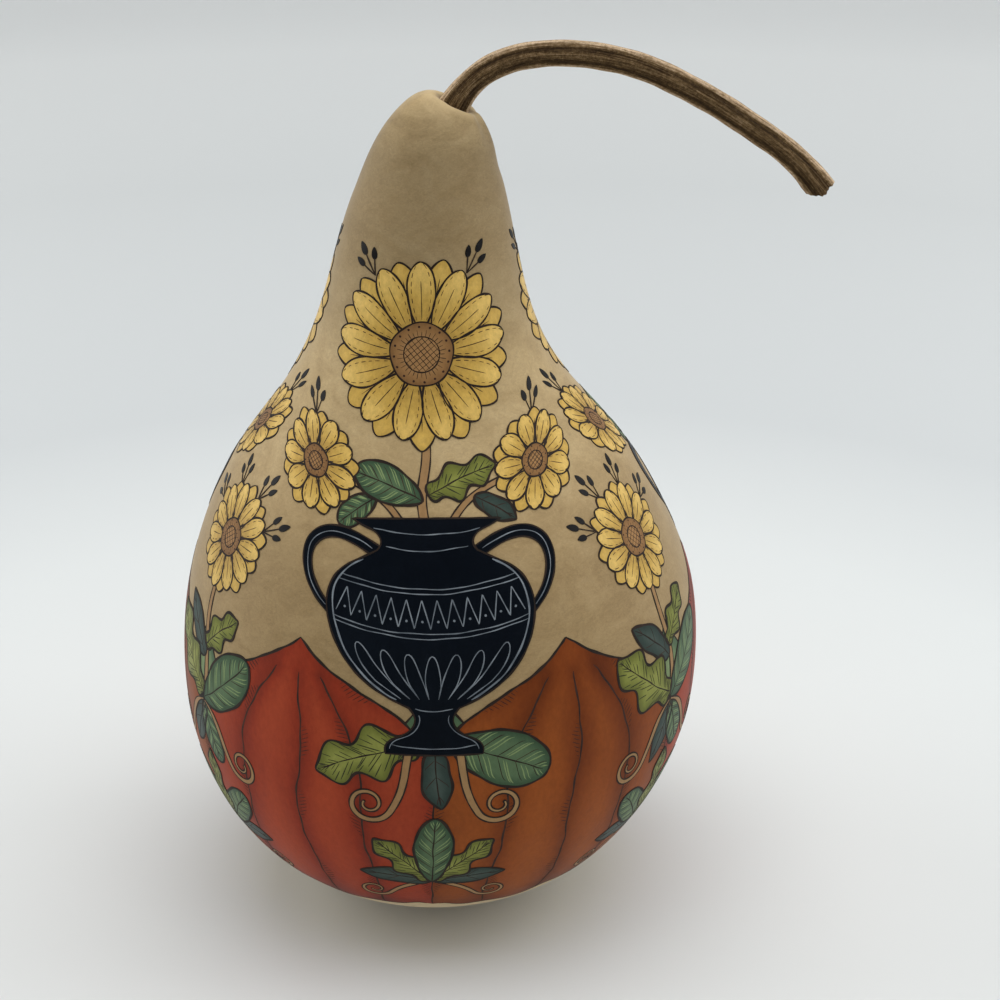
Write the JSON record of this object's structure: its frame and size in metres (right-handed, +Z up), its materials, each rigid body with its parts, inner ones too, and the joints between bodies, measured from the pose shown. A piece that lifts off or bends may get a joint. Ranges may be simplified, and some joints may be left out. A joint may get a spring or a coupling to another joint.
{
  "type": "gourd",
  "caption": "Dried pear-shaped gourd with a tall neck and a long arched stem, standing on a small flat spot, painted with blossoms, leaves, urns and petals over bare tan rind.",
  "frame": {"origin": "middle of the flat spot that the gourd stands on", "axes": "+Z up the gourd's height, +X to the side that the stem arches to, -Y to the pictured front"},
  "size_m": [0.2261, 0.1864, 0.3139],
  "materials": {
    "rind": "satin, bare and painted",
    "dry_stem": "dry, fibrous and matt"
  },
  "bodies": {
    "root": {"gourd": "rind", "stem": "dry_stem"}
  },
  "joints": []
}
